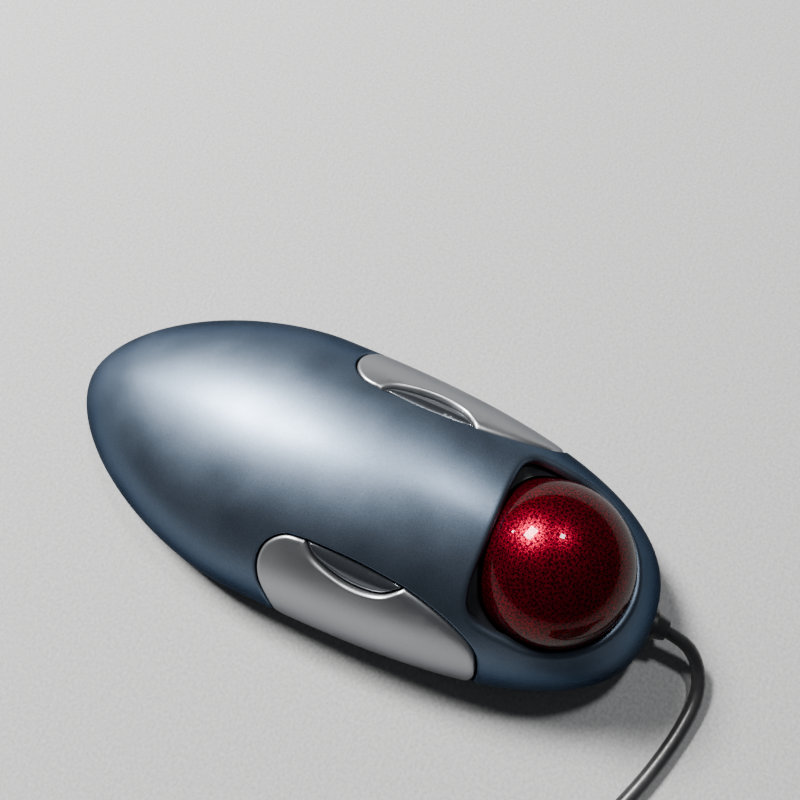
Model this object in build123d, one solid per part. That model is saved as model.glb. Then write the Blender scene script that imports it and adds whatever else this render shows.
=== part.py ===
from build123d import *
import os
from math import cos, pi, radians, sin, tan

# Wired finger trackball with four keys.  Millimetres, +Z up, +Y towards the ball and
# the cable, +X to the right.  The origin is on the table under the middle of the body.

# ---- driving dimensions -------------------------------------------------------------
LENGTH = 166.4
HALF_WIDTH = 37.0
CROWN_HEIGHT = 40.7        # highest point of the cover
EDGE_HEIGHT = 4.8          # lower edge of the cover and the large keys
WIDEST_Y = -20.2           # station of the greatest width
HIGHEST_Y = 22.1           # station of the greatest height
PLAN_REAR, PLAN_FRONT = 1.72, 2.6          # superellipse powers of the plan outline
CROWN_REAR, CROWN_FRONT = 1.8, 2.3         # and of the crown line
ACROSS, UP = 1.8, 2.5                      # and of a cross section
WALL = 2.0                 # cover and keys
SEAM = 0.5                 # gap round every key
FOOT_HEIGHT = 0.8

BALL_R = 20.0
BALL = Vector(0, 52.2, 26.3)
COAT_T = 1.0               # clear outer layer of the ball
DOT_LAYER_T = 2.0          # printed layer under it
LAYER_GAP = 0.05
SOCKET_GAP = 0.7
SOCKET_T = 2.5
SOCKET_TOP = 30.5
OPENING_REAR_Y = 36.7      # straight rear rim of the ball opening
OPENING_HALF = 21.4
OPENING_FRONT_R = 20.9

TRAY_INSET = 0.6           # visible black edge under the keys, inside the body's outline
TRAY_TOP = 3.4
BASE_INSET = 3.3           # wall of the base, inside the cover and the keys
BASE_WALL = 1.2
BASE_FLOOR = 1.8
BASE_TOP = 7.6
BOARD_Z = 5.4
BOARD_T = 1.6

HINGE_Y, HINGE_Z = -7.2, 18.5
HINGE_PIN_R = 1.0
HINGE_CLEARANCE = 0.05
STEM_GAP = 0.1             # between a key's stem and its switch plunger

CABLE_D = 3.5
CABLE_Z = 10.0             # height of the cable's exit

FRONT = LENGTH / 2
BOARD_TOP = BOARD_Z + BOARD_T
FLOOR_TOP = FOOT_HEIGHT + BASE_FLOOR
SIDES = (("right", 1), ("left", -1))


# ---- body form ----------------------------------------------------------------------
def superellipse(t, power):
    return max(1 - min(t, 1) ** power, 0) ** (1 / power)


def half_width(y, inset=0.0):
    end = FRONT - inset
    if y < WIDEST_Y:
        return (HALF_WIDTH - inset) * superellipse((WIDEST_Y - y) / (WIDEST_Y + end), PLAN_REAR)
    return (HALF_WIDTH - inset) * superellipse((y - WIDEST_Y) / (end - WIDEST_Y), PLAN_FRONT)


def crown(y, inset=0.0):
    end, rise = FRONT - inset, CROWN_HEIGHT - EDGE_HEIGHT - inset
    if y < HIGHEST_Y:
        return EDGE_HEIGHT + rise * superellipse((HIGHEST_Y - y) / (HIGHEST_Y + end), CROWN_REAR)
    return EDGE_HEIGHT + rise * superellipse((y - HIGHEST_Y) / (end - HIGHEST_Y), CROWN_FRONT)


def section(y, inset, skirt):
    """Cross section of the body at y, with its sides carried down by skirt."""
    w, rise = half_width(y, inset), crown(y, inset) - EDGE_HEIGHT
    count = 16
    top = []
    for i in range(count + 1):
        a = pi * i / count
        across = abs(cos(a)) ** (2 / ACROSS) * (1 if a <= pi / 2 else -1)
        top.append((w * across, y, EDGE_HEIGHT + rise * max(sin(a), 0) ** (2 / UP)))
    arch = Spline(top, tangents=[(0, 0, 1), (0, 0, -1)])
    low = EDGE_HEIGHT - skirt
    if skirt:
        sides = Polyline((-w, y, EDGE_HEIGHT), (-w, y, low), (w, y, low), (w, y, EDGE_HEIGHT))
    else:
        sides = Line((-w, y, low), (w, y, low))
    return Face(Wire(arch.edges() + sides.edges()))


def body_form(inset=0.0, skirt=0.0):
    """The body's outer form, or the same form smaller by inset all round."""
    angles = (-85.5, -76, -64, -50, -36, -22, -8, 6, 20, 34, 47, 59, 69, 78, 85.5)
    stations = [(FRONT - inset) * sin(radians(a)) for a in angles]
    return loft([section(y, inset, skirt) for y in stations])


def plan_outline(inset, z, height):
    """Prism on the body's plan outline."""
    ends = FRONT - inset
    stations = [ends * sin(radians(a)) for a in range(-84, 85, 14)]
    right = [(half_width(y, inset), y) for y in stations]
    left = [(-x, y) for x, y in reversed(right)]
    edges = Spline(right).edges() + Line(right[-1], left[0]).edges()
    edges += Spline(left).edges() + Line(left[-1], right[0]).edges()
    return extrude(Pos(0, 0, z) * Face(Wire(edges)), height)


# ---- outlines of the keys and the ball opening, right-hand side ----------------------
BEYOND = 46.0              # outside the body
KEY_REAR = [(20.6, -1.4), (21.4, -6.9), (24.4, -10.6), (28.3, -11.7), (32.3, -10.5), (35.6, -7.3), (38.9, -3.4)]
KEY_FRONT = [(34.6, 48.1), (30.4, 46.7), (26.5, 43.5), (23.8, 36.5), (22.0, 28.8), (21.1, 23.5)]
CRESCENT_INNER = [(21.1, 23.7), (20.4, 10.9), (20.6, -1.9)]
CRESCENT_OUTER = [(20.6, -1.9), (23.9, 2.1), (25.9, 10.9), (24.9, 18.7), (21.1, 23.7)]
TALL = 80.0


def mirrored(points, side):
    return [(side * x, y) for x, y in points]


def grown(loop, amount):
    """Closed loop of points moved outward, each along the bisector of its two sides."""
    area = sum(a[0] * b[1] - b[0] * a[1] for a, b in zip(loop, loop[1:] + loop[:1]))
    turn = 1 if area > 0 else -1
    moved = []
    for before, here, after in zip(loop[-1:] + loop[:-1], loop, loop[1:] + loop[:1]):
        arriving = (Vector(*here) - Vector(*before)).normalized()
        leaving = (Vector(*after) - Vector(*here)).normalized()
        across = (arriving + leaving).normalized()
        miter = min(1 / max(across.dot(arriving), 0.01), 4)
        moved.append((here[0] + turn * amount * miter * across.Y, here[1] - turn * amount * miter * across.X))
    return moved


def prism(*curves):
    edges = ShapeList()
    for curve in curves:
        edges += curve.edges()
    return extrude(Pos(0, 0, -10) * Face(Wire(edges)), TALL, dir=(0, 0, 1))


def key_prism(side, grow):
    outside = [(BEYOND, KEY_REAR[-1][1]), (BEYOND, KEY_FRONT[0][1])]
    loop = mirrored(grown(KEY_REAR + outside + KEY_FRONT, grow), side)
    rear, front = loop[:len(KEY_REAR)], loop[-len(KEY_FRONT):]
    return prism(Spline(rear), Polyline(rear[-1], *loop[len(rear):-len(front)], front[0]),
                 Spline(front), Line(front[-1], rear[0]))


def crescent_prism(side, grow):
    loop = mirrored(grown(CRESCENT_OUTER + CRESCENT_INNER[1:-1], grow), side)
    outer, inner = loop[:len(CRESCENT_OUTER)], loop[len(CRESCENT_OUTER) - 1:] + loop[:1]
    return prism(Spline(outer), Spline(inner))


def opening_prism():
    """Squared at the rear, and a half circle round the front of the ball."""
    rear = Pos(0, (OPENING_REAR_Y + BALL.Y) / 2, 0) * RectangleRounded(
        2 * OPENING_HALF, BALL.Y - OPENING_REAR_Y, 5.5)
    middle = Pos(0, BALL.Y - 5, 0) * Rectangle(2 * OPENING_HALF, 10)
    front = Pos(BALL.X, BALL.Y, 0) * Circle(OPENING_FRONT_R)
    return extrude(Pos(0, 0, 15) * (rear + middle + front), TALL)


def ball_sphere(radius):
    return Pos(BALL.X, BALL.Y, BALL.Z) * Sphere(radius)


# ---- shells -------------------------------------------------------------------------
COVER_SCREWS = [(0, -64), (23, -38), (-23, -38), (0, 14)]
COVER_BOSS_R, COVER_BOSS_Z = 3.2, 12.0
SCREW_R = 1.25
COLLAR_R = 4.0
UPWARD = (Align.CENTER, Align.CENTER, Align.MIN)


def rod(x, y, z, radius, height):
    """Upright cylinder standing on z."""
    return Pos(x, y, z) * Cylinder(radius, height, align=UPWARD)


def block(x, y, z, width, depth, height):
    """Box centred on x and y, standing on z."""
    return Pos(x, y, z) * Box(width, depth, height, align=UPWARD)


def cable_bore(radius):
    return Pos(0, FRONT, CABLE_Z) * Rot(90, 0, 0) * Cylinder(radius, 16)


def make_cover(shell, inside):
    cover = shell - opening_prism() - ball_sphere(BALL_R + SOCKET_GAP)
    for _, side in SIDES:
        cover -= key_prism(side, SEAM / 2)
        cover -= crescent_prism(side, SEAM / 2)
    for x, y in COVER_SCREWS:
        boss = rod(x, y, COVER_BOSS_Z, COVER_BOSS_R, TALL) & inside
        cover += boss - rod(x, y, COVER_BOSS_Z, SCREW_R + 0.05, 8)
    return cover - cable_bore(COLLAR_R + 0.1)


# ---- keys ---------------------------------------------------------------------------
SWITCH_X, SWITCH_Y, SWITCH_SIZE = 25.3, 31.3, (5.8, 12.8, 6.5)
PLUNGER_R, PLUNGER_PROUD, PLUNGER_DEPTH = 0.8, 0.9, 0.8
SMALL_X, SMALL_Y, SMALL_SIZE = 23.2, 10.9, (6.0, 6.0, 4.3)
SMALL_PLUNGER_R, SMALL_PROUD, SMALL_DEPTH = 1.7, 0.7, 0.7
STEM_R, SMALL_STEM_R = 1.5, 1.2
LUG_X, LUG_WIDTH, LUG_DEPTH, LUG_LOW = 28.6, 3.0, 5.0, 15.9
SWITCH_TOP = BOARD_TOP + SWITCH_SIZE[2] + PLUNGER_PROUD
SMALL_TOP = BOARD_TOP + SMALL_SIZE[2] + SMALL_PROUD


def hinge_rod(side, x_from, x_to, radius):
    middle = side * (x_from + x_to) / 2
    return Pos(middle, HINGE_Y, HINGE_Z) * Rot(0, 90, 0) * Cylinder(radius, x_to - x_from)


def make_key(shell, inside, side):
    key = shell & key_prism(side, -SEAM / 2)
    key -= crescent_prism(side, SEAM / 2)
    stem = rod(side * SWITCH_X, SWITCH_Y, SWITCH_TOP + STEM_GAP, STEM_R, TALL) & inside
    lug = block(side * LUG_X, HINGE_Y, LUG_LOW, LUG_WIDTH, LUG_DEPTH, TALL) & inside
    lug -= hinge_rod(side, LUG_X - 3, LUG_X + 3, HINGE_PIN_R + HINGE_CLEARANCE)
    return key + stem + lug


def make_small_key(shell, inside, side):
    key = shell & crescent_prism(side, -SEAM / 2)
    stem = rod(side * SMALL_X, SMALL_Y, SMALL_TOP + STEM_GAP, SMALL_STEM_R, TALL) & inside
    return key + stem


def make_switch(x, y, size, plunger_r, pocket):
    top = BOARD_TOP + size[2]
    return block(x, y, BOARD_TOP, *size) - rod(x, y, top - pocket, plunger_r + 0.05, TALL)


def make_plunger(x, y, size, radius, proud, depth):
    return rod(x, y, BOARD_TOP + size[2] - depth, radius, proud + depth)


# ---- base ---------------------------------------------------------------------------
FEET = [(0, -60, 20, 7), (25, -24, 7, 18), (-25, -24, 7, 18), (18.5, 46, 7, 16), (-18.5, 46, 7, 16)]
BOARD_SCREWS = [(17, -26), (-17, -26), (17, 0), (-17, 0)]
STANDOFF_R = 2.6
BASE_BOSS_R = 4.2
HEAD_R, HEAD_H = 2.6, 2.2
SHANK_TOP = 18.0
POST_X, POST_WIDTH, POST_TOP = 25.1, 3.0, 21.1


def make_base():
    base = plan_outline(TRAY_INSET, FOOT_HEIGHT, TRAY_TOP - FOOT_HEIGHT)
    base += plan_outline(BASE_INSET, FOOT_HEIGHT, BASE_TOP - FOOT_HEIGHT)
    base -= plan_outline(BASE_INSET + BASE_WALL, FLOOR_TOP, BASE_TOP)
    for x, y in COVER_SCREWS:
        base += rod(x, y, FOOT_HEIGHT, BASE_BOSS_R, COVER_BOSS_Z - 0.1 - FOOT_HEIGHT)
        base -= rod(x, y, 0, SCREW_R + 0.2, TALL) + rod(x, y, 0, HEAD_R + 0.3, FOOT_HEIGHT + HEAD_H + 0.6)
    for x, y in BOARD_SCREWS:
        base += rod(x, y, FLOOR_TOP, STANDOFF_R, BOARD_Z - FLOOR_TOP)
        base -= rod(x, y, FOOT_HEIGHT + 0.8, BOARD_SCREW_R + 0.05, BOARD_Z)
    for _, side in SIDES:
        base += block(side * POST_X, HINGE_Y, FLOOR_TOP, POST_WIDTH, LUG_DEPTH, POST_TOP - FLOOR_TOP)
        base -= hinge_rod(side, POST_X - POST_WIDTH, POST_X + POST_WIDTH, HINGE_PIN_R)
    return base - cable_bore(COLLAR_R + 0.1)


def make_feet():
    return Compound([extrude(Pos(x, y, 0) * RectangleRounded(w, d, 3), FOOT_HEIGHT) for x, y, w, d in FEET])


def make_case_screws():
    screws = []
    for x, y in COVER_SCREWS:
        low = FOOT_HEIGHT + 0.6
        head = rod(x, y, low, HEAD_R, HEAD_H) - block(x, y, low, 0.8, 4, 1) - block(x, y, low, 4, 0.8, 1)
        screws.append(head + rod(x, y, low + 1.5, SCREW_R, SHANK_TOP - low - 1.5))
    return Compound(screws)


def make_hinge_pins():
    inner_end, outer_end = POST_X - POST_WIDTH / 2, LUG_X + LUG_WIDTH / 2 + 0.3
    return Compound([hinge_rod(side, inner_end, outer_end, HINGE_PIN_R) for _, side in SIDES])


# ---- electronics --------------------------------------------------------------------
BOARD_SCREW_R = 0.9
ARM_HALF, SPINE_HALF, NOTCH_HALF = 28.3, 21.5, 13.0
BOARD_REAR, ARM_REAR, NOTCH_REAR, BOARD_FRONT = -46.0, 4.0, 24.5, 38.5
CONNECTOR = (-17.5, 33.5)
CONNECTOR_SIZE = (8.0, 6.0, 5.0)


def make_main_board():
    spine = block(0, (BOARD_REAR + NOTCH_REAR) / 2, BOARD_Z, 2 * SPINE_HALF, NOTCH_REAR - BOARD_REAR, BOARD_T)
    arms = block(0, (ARM_REAR + BOARD_FRONT) / 2, BOARD_Z, 2 * ARM_HALF, BOARD_FRONT - ARM_REAR, BOARD_T)
    board = spine + arms - block(0, 40, 0, 2 * NOTCH_HALF, 2 * (40 - NOTCH_REAR), TALL)
    for x, y in COVER_SCREWS:
        board -= rod(x, y, 0, BASE_BOSS_R + 0.4, TALL)
    for x, y in BOARD_SCREWS:
        board -= rod(x, y, 0, BOARD_SCREW_R + 0.2, TALL)
    return board


def make_board_screws():
    low = FOOT_HEIGHT + 1.4
    return Compound([rod(x, y, low, BOARD_SCREW_R, BOARD_TOP - low + 0.5) + rod(x, y, BOARD_TOP, 1.9, 1.3)
                     for x, y in BOARD_SCREWS])


def make_controller_chip():
    chip = block(0, -10, BOARD_TOP + 0.2, 7, 13, 2.2)
    for side in (1, -1):
        for i in range(8):
            chip += block(side * 4.1, -10 + 1.27 * (i - 3.5), BOARD_TOP, 1.6, 0.5, 0.8)
    return chip


def make_capacitor():
    return rod(-8, -32, BOARD_TOP, 3.0, 7.5)


def make_crystal():
    return extrude(Pos(9, -26, BOARD_TOP) * RectangleRounded(10, 4, 1.9), 3.5)


def make_connector():
    x, y = CONNECTOR
    body = block(x, y, BOARD_TOP, *CONNECTOR_SIZE)
    return body - Pos(x, y + 2, CABLE_IN_Z) * Rot(90, 0, 0) * Cylinder(CABLE_D / 2, 3)


# ---- ball, socket and sensor --------------------------------------------------------
BEAD_R = 1.5
BEAD_GAP = 0.05
BEAD_ANGLES = (90, 210, 330)       # round the ball, seen from above
BEAD_DIP = 40                      # below the ball's middle, degrees
SENSOR_DIP = 45                    # the sensor looks up and forward at the ball


def bead_centres():
    reach = BALL_R + BEAD_GAP + BEAD_R
    level = reach * cos(radians(BEAD_DIP))
    return [BALL + Vector(level * cos(radians(a)), level * sin(radians(a)), -reach * sin(radians(BEAD_DIP)))
            for a in BEAD_ANGLES]


def along_sensor(distance, across=0.0):
    """Place on the line from the ball's middle down and back to the sensor."""
    back = distance * cos(radians(SENSOR_DIP))
    down = distance * sin(radians(SENSOR_DIP))
    return Pos(BALL.X + across, BALL.Y - back, BALL.Z - down) * Rot(90 + SENSOR_DIP, 0, 0)


def make_socket(inside):
    cup = ball_sphere(BALL_R + SOCKET_GAP + SOCKET_T) - ball_sphere(BALL_R + SOCKET_GAP)
    cup -= Pos(BALL.X, BALL.Y, SOCKET_TOP) * Box(80, 80, 40, align=UPWARD)
    cup = cup & inside
    cup -= along_sensor(23) * Cylinder(4.0, 10)
    for across in (-7, 7):
        cup -= along_sensor(23, across) * Cylinder(1.7, 12)
    for centre in bead_centres():
        cup -= Pos(centre.X, centre.Y, centre.Z) * Sphere(BEAD_R + 0.05)
    return cup


def make_beads():
    return Compound([Pos(c.X, c.Y, c.Z) * Sphere(BEAD_R) for c in bead_centres()])


def make_lens():
    barrel = along_sensor(23.2) * Cylinder(3.8, 2.4)
    dome = along_sensor(22.6) * Sphere(2.4)
    return barrel + (dome - along_sensor(27) * Box(12, 12, 8))


def make_leds():
    leds = []
    for across in (-7, 7):
        body = along_sensor(23.6, across) * Cylinder(1.5, 3.4)
        leds.append(body + along_sensor(21.9, across) * Sphere(1.5))
    return Compound(leds)


def make_sensor_chip():
    return along_sensor(25.5) * Box(8, 8, 1.8)


def make_sensor_board():
    return along_sensor(27.2) * Box(20, 10, 1.2)


def ball_layer(outer, inner):
    layer = ball_sphere(outer)
    return layer - ball_sphere(inner) if inner else layer


# ---- cable --------------------------------------------------------------------------
CABLE_JOIN_Y = 80.7
CABLE_IN_Z = 9.6
COIL = Vector(67.5, 109.5, 0)
COIL_MEAN_R = 19.25
COIL_ROWS = 4                      # turns beside and on each other
TABLE = CABLE_D / 2
COIL_HALF = COIL_ROWS * CABLE_D / 2
COIL_OUT_R = COIL_MEAN_R + COIL_HALF - CABLE_D / 2
COIL_TOP_Z = 2 * COIL_HALF - CABLE_D / 2
PLUG_Z = 4.0
PLUG_START = Vector(67.5, 143, PLUG_Z)
PLUG_SIZE = (24.0, 12.0, 8.0)
SHELL_SIZE = (18.0, 11.0, 4.5)
SHELL_OUT = 12.0                   # beyond the overmould

INNER_ROUTE = [
    (0, CABLE_JOIN_Y, CABLE_Z), (0, 75.5, CABLE_Z), (-8.2, 72.4, 9.6), (-17, 65.2, CABLE_IN_Z),
    (-19.4, 54, CABLE_IN_Z), (-18.0, 44, CABLE_IN_Z), (-17.5, 37, CABLE_IN_Z)]
CABLE_ROUTE = [
    (0, CABLE_JOIN_Y, CABLE_Z), (0, 90, CABLE_Z), (2.5, 97, 5.6), (9.8, 101, 2.6), (20.7, 99.6, TABLE),
    (34.6, 95.2, TABLE), (46.2, 90, TABLE), (57, 86.5, TABLE), (COIL.X, COIL.Y - COIL_OUT_R, TABLE)]
TAIL_ROUTE = [
    (COIL.X + COIL_OUT_R, COIL.Y, COIL_TOP_Z), (92.5, 118.5, COIL_TOP_Z - 0.2), (90.5, 129, 9.5),
    (84, 138.3, 5.4), (75, 143, PLUG_Z), (PLUG_START.X, PLUG_START.Y, PLUG_Z)]


def route_radii(points):
    """Largest tangent arc at each corner that its two runs allow."""
    radii = []
    for a, b, c in zip(points, points[1:], points[2:]):
        before, after = Vector(*b) - Vector(*a), Vector(*c) - Vector(*b)
        turn = radians(before.get_angle(after))
        radii.append(0.45 * min(before.length, after.length) / tan(turn / 2))
    return radii


def tube(points, name):
    radii = route_radii(points)
    path = FilletPolyline(*points, radius=radii)
    ring = Plane(origin=path @ 0, z_dir=path % 0) * Circle(CABLE_D / 2)
    solid = sweep(ring, path=path)
    print(name, "length", round(path.length, 1), "radii", [round(r, 1) for r in radii],
          "volume over section x length", round(solid.volume / (pi * CABLE_D ** 2 / 4 * path.length), 4))
    return solid


def make_strain_relief():
    flange = Pos(0, FRONT - 2.5, CABLE_Z) * Rot(-90, 0, 0) * Cylinder(COLLAR_R, 4.5)
    taper = Pos(0, FRONT + 1.4, CABLE_Z) * Rot(-90, 0, 0) * Cone(3.6, 2.8, 3.6)
    return flange + taper - cable_bore(CABLE_D / 2 + 0.05)


def make_coil():
    profile = Pos(COIL_MEAN_R, COIL_HALF) * RectangleRounded(2 * COIL_HALF, 2 * COIL_HALF, CABLE_D / 2 - 0.05)
    return Pos(COIL.X, COIL.Y, 0) * revolve(Plane.XZ * profile, Axis.Z)


TIE_T, TIE_WIDTH = 0.8, 6.0


def make_tie():
    """Band over the coil, open at the table."""
    outer = block(0, 0, 0, 2 * COIL_HALF + 2 * TIE_T, TIE_WIDTH, 2 * COIL_HALF + TIE_T)
    inner = block(0, 0, -1, 2 * COIL_HALF + 0.1, TIE_WIDTH + 2, 2 * COIL_HALF + 1.05)
    band = Pos(COIL_MEAN_R, 0, 0) * (outer - inner)
    placed = Pos(COIL.X, COIL.Y, 0) * Rot(0, 0, 150) * band
    return placed - make_coil()


def make_plug_overmould():
    x, y, z = PLUG_START.X - PLUG_SIZE[0] / 2, PLUG_START.Y, PLUG_Z
    body = Pos(x, y, z) * Box(*PLUG_SIZE)
    body = fillet(body.edges().filter_by(Axis.X), 2.0)
    return body - plug_shell_solid()


def plug_shell_solid():
    x = PLUG_START.X - PLUG_SIZE[0] - SHELL_OUT + SHELL_SIZE[0] / 2
    return Pos(x, PLUG_START.Y, PLUG_Z) * Box(*SHELL_SIZE)


def make_plug_shell():
    x = PLUG_START.X - PLUG_SIZE[0] - SHELL_OUT
    hollow = Pos(x + 8, PLUG_START.Y, PLUG_Z) * Box(17, 10.4, SHELL_SIZE[2] - 0.6)
    return plug_shell_solid() - hollow


def make_plug_insert():
    x = PLUG_START.X - PLUG_SIZE[0] - SHELL_OUT
    tongue = Pos(x + 8.4, PLUG_START.Y, PLUG_Z + 1.0) * Box(15.8, 10.2, 1.8)
    return tongue


def make_plug_contacts():
    x = PLUG_START.X - PLUG_SIZE[0] - SHELL_OUT
    return Compound([Pos(x + 5.5, PLUG_START.Y + off, PLUG_Z + 0.05) * Box(8, 1.0, 0.08)
                     for off in (-3.5, -1.0, 1.0, 3.5)])


# ---- the set ------------------------------------------------------------------------
def make_parts():
    shell, inside = body_form() - body_form(WALL, 8), body_form(WALL / 2)
    dots_outer = BALL_R - COAT_T - LAYER_GAP
    core_outer = dots_outer - DOT_LAYER_T - LAYER_GAP
    parts = {
        "top_cover": make_cover(shell, inside),
        "base_shell": make_base(),
        "rubber_feet": make_feet(),
        "case_screws": make_case_screws(),
        "hinge_pins": make_hinge_pins(),
        "main_board": make_main_board(),
        "board_screws": make_board_screws(),
        "controller_chip": make_controller_chip(),
        "capacitor": make_capacitor(),
        "crystal": make_crystal(),
        "cable_connector": make_connector(),
        "ball_socket": make_socket(body_form(WALL + 0.3, 4)),
        "support_beads": make_beads(),
        "sensor_lens": make_lens(),
        "sensor_leds": make_leds(),
        "sensor_chip": make_sensor_chip(),
        "sensor_board": make_sensor_board(),
        "ball_core": ball_layer(core_outer, 0),
        "ball_dot_layer": ball_layer(dots_outer, core_outer + LAYER_GAP),
        "ball_clear_coat": ball_layer(BALL_R, BALL_R - COAT_T),
        "inner_cable": tube(INNER_ROUTE, "inner cable"),
        "strain_relief": make_strain_relief(),
        "cable": tube(CABLE_ROUTE, "cable"),
        "cable_coil": make_coil(),
        "coil_tie": make_tie(),
        "cable_tail": tube(TAIL_ROUTE, "cable tail"),
        "plug_overmould": make_plug_overmould(),
        "plug_shell": make_plug_shell(),
        "plug_insert": make_plug_insert(),
        "plug_contacts": make_plug_contacts(),
    }
    for name, side in SIDES:
        parts[name + "_key"] = make_key(shell, inside, side)
        parts[name + "_small_key"] = make_small_key(shell, inside, side)
        parts[name + "_switch"] = make_switch(side * SWITCH_X, SWITCH_Y, SWITCH_SIZE, PLUNGER_R, 2.0)
        parts[name + "_switch_plunger"] = make_plunger(
            side * SWITCH_X, SWITCH_Y, SWITCH_SIZE, PLUNGER_R, PLUNGER_PROUD, PLUNGER_DEPTH)
        parts[name + "_small_switch"] = make_switch(side * SMALL_X, SMALL_Y, SMALL_SIZE, SMALL_PLUNGER_R, 1.6)
        parts[name + "_small_switch_plunger"] = make_plunger(
            side * SMALL_X, SMALL_Y, SMALL_SIZE, SMALL_PLUNGER_R, SMALL_PROUD, SMALL_DEPTH)
    return parts


os.makedirs("parts", exist_ok=True)
for node, shape in make_parts().items():
    export_step(shape, f"parts/{node}.step")
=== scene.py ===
import math

import bmesh
import bpy
import numpy as np
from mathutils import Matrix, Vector
from mathutils.geometry import delaunay_2d_cdt
from mathutils.kdtree import KDTree


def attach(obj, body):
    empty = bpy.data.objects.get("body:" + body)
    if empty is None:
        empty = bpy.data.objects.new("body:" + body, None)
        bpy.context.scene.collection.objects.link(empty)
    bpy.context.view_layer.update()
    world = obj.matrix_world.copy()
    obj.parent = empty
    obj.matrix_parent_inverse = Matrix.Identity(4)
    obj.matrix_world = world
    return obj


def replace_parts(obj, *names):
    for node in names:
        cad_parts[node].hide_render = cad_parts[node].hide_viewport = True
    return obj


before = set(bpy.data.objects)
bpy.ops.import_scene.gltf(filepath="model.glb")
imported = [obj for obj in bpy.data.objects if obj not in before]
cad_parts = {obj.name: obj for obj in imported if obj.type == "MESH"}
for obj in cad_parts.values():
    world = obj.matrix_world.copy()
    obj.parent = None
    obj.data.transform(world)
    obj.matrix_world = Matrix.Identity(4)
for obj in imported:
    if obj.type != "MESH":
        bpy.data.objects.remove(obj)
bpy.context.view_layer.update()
MM = 0.001                       # lengths are in millimetres up to the point where a mesh is made

# ---- sizes shared with the CAD source -------------------------------------------------
LENGTH, HALF_WIDTH = 166.4, 37.0
CROWN_HEIGHT, EDGE_HEIGHT = 40.7, 4.8
WIDEST_Y, HIGHEST_Y = -20.2, 22.1
PLAN_REAR, PLAN_FRONT = 1.72, 2.6
CROWN_REAR, CROWN_FRONT = 1.8, 2.3
ACROSS, UP = 1.8, 2.5
FRONT = LENGTH / 2
WALL = 2.0
SEAM = 0.44
BALL = np.array([0.0, 52.2, 26.3])
BALL_R = 20.0
CABLE_D = 3.5
CABLE_Z = 10.0

# ---- camera ---------------------------------------------------------------------------
TARGET = Vector((-26.15, 0.67, 14.42)) * MM
CAMERA_AZIMUTH, CAMERA_ELEVATION = 114.9, 70.1     # degrees; azimuth 0 looks along +Y
CAMERA_DISTANCE = 0.2196
LENS = 36.46                                       # on a sensor 36 mm wide


def direction(azimuth, elevation):
    """Unit vector from the object towards that side of it."""
    a, e = math.radians(azimuth), math.radians(elevation)
    return Vector((math.sin(a) * math.cos(e), -math.cos(a) * math.cos(e), math.sin(e)))


def make_camera():
    data = bpy.data.cameras.new("camera")
    data.lens, data.sensor_width = LENS, 36.0
    data.clip_start, data.clip_end = 0.01, 20.0
    camera = bpy.data.objects.new("camera", data)
    bpy.context.scene.collection.objects.link(camera)
    back = direction(CAMERA_AZIMUTH, CAMERA_ELEVATION)
    camera.location = TARGET + CAMERA_DISTANCE * back
    camera.rotation_euler = back.to_track_quat("Z", "Y").to_euler()
    bpy.context.scene.camera = camera


make_camera()


# ---- cord -----------------------------------------------------------------------------
COIL = (67.5, 109.5)
COIL_ROWS = 4
COIL_TURNS = 13.25
COIL_OUT_R, COIL_IN_R = 25.2, 13.6
TABLE = CABLE_D / 2
COIL_TOP_Z = (2 * COIL_ROWS - 1) * CABLE_D / 2
PLUG_Z = 4.0
PLUG_START = (67.5, 143.0, PLUG_Z)
POINTS_PER_TURN = 16
CABLE_ROUTE = [
    (0, 80.7, CABLE_Z), (0, 90.0, CABLE_Z), (2.5, 97.0, 5.6), (9.8, 101.0, 2.6), (20.7, 99.6, TABLE),
    (34.6, 95.2, TABLE), (46.2, 90.0, TABLE), (57, 86.5, TABLE)]
TAIL_ROUTE = [
    (92.5, 118.5, COIL_TOP_Z - 0.2), (90.5, 129, 9.5), (84, 138.3, 5.4), (75, 143, PLUG_Z), PLUG_START]


def coil_points():
    """Layers of turns on each other, wound inward and outward in turn, from the table up."""
    points = []
    per_layer = COIL_TURNS / COIL_ROWS
    for i in range(int(COIL_TURNS * POINTS_PER_TURN) + 1):
        turns = i / POINTS_PER_TURN
        layer = min(int(turns / per_layer), COIL_ROWS - 1)
        share = turns / per_layer - layer
        inward = share if layer % 2 == 0 else 1 - share
        radius = COIL_OUT_R + (COIL_IN_R - COIL_OUT_R) * inward
        climb = max(0.0, (share - 0.93) / 0.07) if layer < COIL_ROWS - 1 else 0.0
        angle = math.pi * (2 * turns - 0.5)
        points.append((COIL[0] + radius * math.cos(angle), COIL[1] + radius * math.sin(angle),
                       TABLE + (layer + climb) * CABLE_D))
    return points


def link(name, data, body):
    obj = bpy.data.objects.new(name, data)
    bpy.context.scene.collection.objects.link(obj)
    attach(obj, body)
    return obj


def make_cord():
    data = bpy.data.curves.new("usb_cable", "CURVE")
    data.dimensions = "3D"
    points = CABLE_ROUTE + coil_points() + TAIL_ROUTE
    spline = data.splines.new("NURBS")
    spline.points.add(len(points) - 1)
    for point, place in zip(spline.points, points):
        point.co = (place[0] * MM, place[1] * MM, place[2] * MM, 1.0)
        point.radius = CABLE_D * MM / 2      # also the margin round the points in the curve's box
    spline.order_u = 3
    spline.use_endpoint_u = True
    spline.resolution_u = 4
    data.bevel_depth = 1.0                   # times each point's radius
    data.bevel_resolution = 5
    data.use_fill_caps = True
    return link("usb_cable", data, "case")


cord = make_cord()
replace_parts(cord, "cable", "cable_coil", "cable_tail")


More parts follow.
